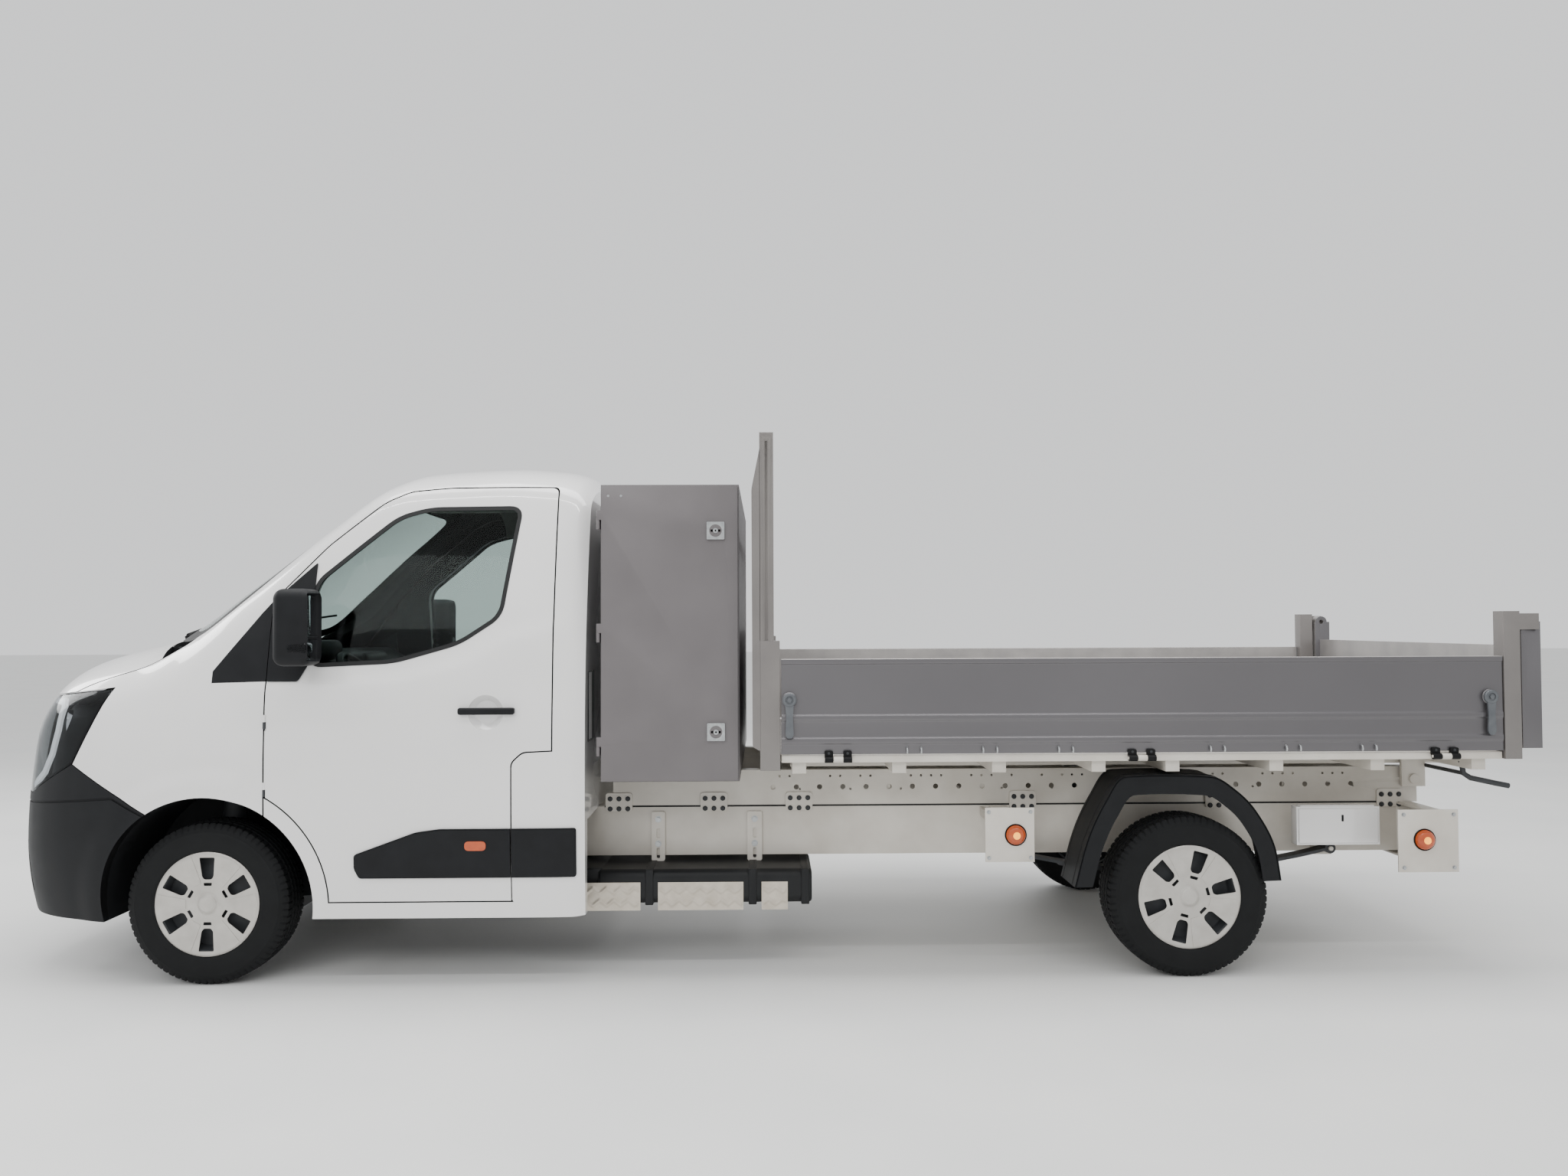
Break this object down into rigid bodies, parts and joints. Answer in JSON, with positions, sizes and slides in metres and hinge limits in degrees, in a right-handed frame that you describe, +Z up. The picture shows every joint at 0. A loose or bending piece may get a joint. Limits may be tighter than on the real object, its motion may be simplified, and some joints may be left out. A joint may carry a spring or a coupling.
{
  "type": "dump truck",
  "caption": "Light single-cab tipper truck with a tool locker behind the cab and a drop-side tipping bed raised by a telescopic cylinder.",
  "frame": {"origin": "middle of the footprint on the ground", "axes": "+X along the truck towards the tailgate, +Y to its right side, +Z up"},
  "size_m": [6.74, 2.468, 2.353],
  "materials": {
    "white_paint": "gloss white paint",
    "dark_plastic": "grained anthracite plastic",
    "black_plastic": "black plastic",
    "lamp_lens": "clear lens over a bright reflector",
    "glass": "lightly tinted glass",
    "interior": "grained dark grey plastic",
    "seat_cloth": "dark grey cloth",
    "engine": "plain casting",
    "chassis_paint": "cream white paint",
    "black_steel": "black chassis paint",
    "tyre": "black rubber",
    "wheel_paint": "silver paint",
    "tank_plastic": "black plastic",
    "shield": "dull aluminium sheet",
    "amber": "amber and red lens",
    "locker_paint": "satin grey paint",
    "post_metal": "anodised aluminium",
    "side_metal": "anodised aluminium",
    "ram_steel": "ground steel",
    "ram_paint": "dark grey paint"
  },
  "bodies": {
    "truck": {"cab_body": "white_paint", "cab_floor": "interior", "cab_hinges": "black_steel", "front_wings": "white_paint", "front_bumper": "dark_plastic", "grille": "black_plastic", "headlamps": "lamp_lens", "windscreen": "glass", "cab_trim": "dark_plastic", "dashboard": "interior", "steering_wheel": "black_plastic", "seats": "seat_cloth", "engine": "engine", "frame_rails": "chassis_paint", "frame_crossmembers": "chassis_paint", "front_subframe": "black_steel", "rear_axle": "black_steel", "fuel_tank": "tank_plastic", "heat_shields": "shield", "rear_mudguards": "dark_plastic", "rear_bar": "chassis_paint", "lamps": "amber", "subframe_rails": "chassis_paint", "subframe_crossmembers": "chassis_paint", "locker_body": "locker_paint"},
    "bonnet": {"bonnet": "white_paint"},
    "door_left": {"door_left": "white_paint", "door_glass_left": "glass", "door_fittings_left": "dark_plastic"},
    "door_right": {"door_right": "white_paint", "door_glass_right": "glass", "door_fittings_right": "dark_plastic"},
    "knuckle_left": {"knuckle_left": "black_steel"},
    "knuckle_right": {"knuckle_right": "black_steel"},
    "locker_door_left": {"locker_door_left": "locker_paint"},
    "locker_door_right": {"locker_door_right": "locker_paint"},
    "bed": {"bed_floor": "post_metal", "bed_posts": "post_metal", "headboard": "post_metal"},
    "side_left": {"side_left": "side_metal"},
    "side_right": {"side_right": "side_metal"},
    "tailgate": {"tailgate": "side_metal"},
    "ram_barrel": {"ram_barrel": "ram_paint"},
    "ram_stage_1": {"ram_stage_1": "ram_steel"},
    "ram_stage_2": {"ram_stage_2": "ram_steel"},
    "ram_rod": {"ram_rod": "ram_steel"},
    "wheel_front_left": {"tyre_front_left": "tyre", "rim_front_left": "wheel_paint"},
    "wheel_front_right": {"tyre_front_right": "tyre", "rim_front_right": "wheel_paint"},
    "wheel_rear_left": {"tyre_rear_left": "tyre", "rim_rear_left": "wheel_paint"},
    "wheel_rear_right": {"tyre_rear_right": "tyre", "rim_rear_right": "wheel_paint"}
  },
  "joints": [
    {"name": "steer_left", "type": "hinge", "parent": "truck", "child": "knuckle_left", "pos_m": [-2.36, -0.769, 0.346], "axis": [0, 0.2079, 0.9781], "range_deg": [-35, 35]},
    {"name": "steer_right", "type": "hinge", "parent": "truck", "child": "knuckle_right", "pos_m": [-2.36, 0.769, 0.346], "axis": [0, -0.2079, 0.9781], "range_deg": [-35, 35]},
    {"name": "wheel_front_left_spin", "type": "hinge", "parent": "knuckle_left", "child": "wheel_front_left", "pos_m": [-2.36, -0.87, 0.346], "axis": [0, 1, 0], "continuous": true},
    {"name": "wheel_front_right_spin", "type": "hinge", "parent": "knuckle_right", "child": "wheel_front_right", "pos_m": [-2.36, 0.87, 0.346], "axis": [0, 1, 0], "continuous": true},
    {"name": "wheel_rear_left_spin", "type": "hinge", "parent": "truck", "child": "wheel_rear_left", "pos_m": [1.855, -0.87, 0.346], "axis": [0, 1, 0], "continuous": true},
    {"name": "wheel_rear_right_spin", "type": "hinge", "parent": "truck", "child": "wheel_rear_right", "pos_m": [1.855, 0.87, 0.346], "axis": [0, 1, 0], "continuous": true},
    {"name": "door_left_hinge", "type": "hinge", "parent": "truck", "child": "door_left", "pos_m": [-2.10208, -1.03, 1], "axis": [0, 0, -1], "range_deg": [0, 65]},
    {"name": "door_right_hinge", "type": "hinge", "parent": "truck", "child": "door_right", "pos_m": [-2.10208, 1.03, 1], "axis": [0, 0, 1], "range_deg": [0, 65]},
    {"name": "bonnet_hinge", "type": "hinge", "parent": "truck", "child": "bonnet", "pos_m": [-2.645, 0, 1.42497], "axis": [0, 1, 0], "range_deg": [0, 50]},
    {"name": "locker_left_hinge", "type": "hinge", "parent": "truck", "child": "locker_door_left", "pos_m": [-0.692, -0.995, 1.496], "axis": [0, 0, -1], "range_deg": [0, 100]},
    {"name": "locker_right_hinge", "type": "hinge", "parent": "truck", "child": "locker_door_right", "pos_m": [-0.692, 0.995, 1.496], "axis": [0, 0, 1], "range_deg": [0, 100]},
    {"name": "bed_tip", "type": "hinge", "parent": "truck", "child": "bed", "pos_m": [3.04, 0, 0.8], "axis": [0, 1, 0], "range_deg": [0, 45]},
    {"name": "side_left_drop", "type": "hinge", "parent": "bed", "child": "side_left", "pos_m": [1.631, -1.062, 0.955], "axis": [1, 0, 0], "range_deg": [0, 180]},
    {"name": "side_right_drop", "type": "hinge", "parent": "bed", "child": "side_right", "pos_m": [1.631, 1.062, 0.955], "axis": [-1, 0, 0], "range_deg": [0, 180]},
    {"name": "tailgate_swing", "type": "hinge", "parent": "bed", "child": "tailgate", "pos_m": [3.322, 0, 1.53], "axis": [0, -1, 0], "range_deg": [0, 90]},
    {"name": "ram_swing", "type": "hinge", "parent": "truck", "child": "ram_barrel", "pos_m": [1.65, 0, 0.4], "axis": [0, 1, 0], "range_deg": [0, 23.2]},
    {"name": "ram_slide_1", "type": "slide", "parent": "ram_barrel", "child": "ram_stage_1", "axis": [-0.1266, 0, 0.9919], "range_m": [0, 0.36]},
    {"name": "ram_slide_2", "type": "slide", "parent": "ram_stage_1", "child": "ram_stage_2", "axis": [-0.1266, 0, 0.9919], "range_m": [0, 0.36]},
    {"name": "ram_slide_3", "type": "slide", "parent": "ram_stage_2", "child": "ram_rod", "axis": [-0.1266, 0, 0.9919], "range_m": [0, 0.36]}
  ],
  "couplings": [
    {"joint": "steer_right", "follows": "steer_left", "ratio": 1},
    {"joint": "ram_swing", "follows": "bed_tip", "ratio": 0.513},
    {"joint": "ram_slide_1", "follows": "bed_tip", "m_per_rad": 0.4574},
    {"joint": "ram_slide_2", "follows": "bed_tip", "m_per_rad": 0.4574},
    {"joint": "ram_slide_3", "follows": "bed_tip", "m_per_rad": 0.4574}
  ]
}
